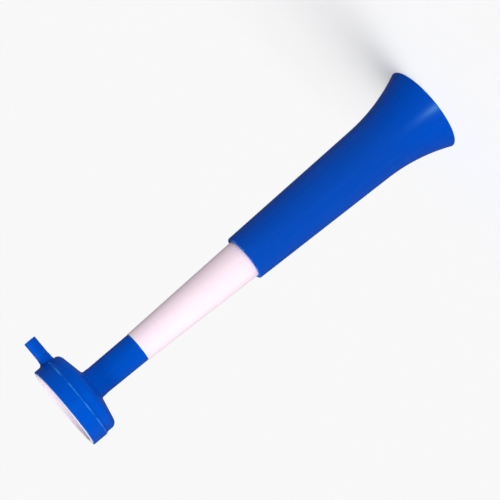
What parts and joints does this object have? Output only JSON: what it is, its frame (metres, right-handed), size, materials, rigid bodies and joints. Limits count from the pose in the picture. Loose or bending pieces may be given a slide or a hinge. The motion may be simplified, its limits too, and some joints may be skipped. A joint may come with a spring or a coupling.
{
  "type": "stadium cheer horn",
  "caption": "Long mouth-blown cheer horn: flared bell, conical middle tube that slides into it, and a round drum head with a side blow tube and a thin sounding film.",
  "frame": {"origin": "centre of the bell mouth's rim, on the plane that the horn stands on", "axes": "+Z along the bore from the bell mouth to the drum head, +X along the blow tube, away from the horn"},
  "size_m": [0.0941, 0.0742, 0.3705],
  "materials": {
    "blue_plastic": "satin moulded plastic",
    "pale_plastic": "satin moulded plastic, pinkish white",
    "film": "thin stretched film, slightly milky"
  },
  "bodies": {
    "bell": {"bell": "blue_plastic"},
    "middle": {"middle_tube": "pale_plastic"},
    "head": {"head_shell": "blue_plastic", "throat_tube": "pale_plastic", "membrane": "film", "retaining_ring": "pale_plastic", "blow_tube": "blue_plastic"}
  },
  "joints": [
    {"name": "telescope_slide", "type": "slide", "parent": "bell", "child": "middle", "axis": [0, 0, -1], "range_m": [0, 0.154]},
    {"name": "head_turn", "type": "hinge", "parent": "middle", "child": "head", "pos_m": [0, 0, 0.30755], "axis": [0, 0, 1], "continuous": true}
  ]
}
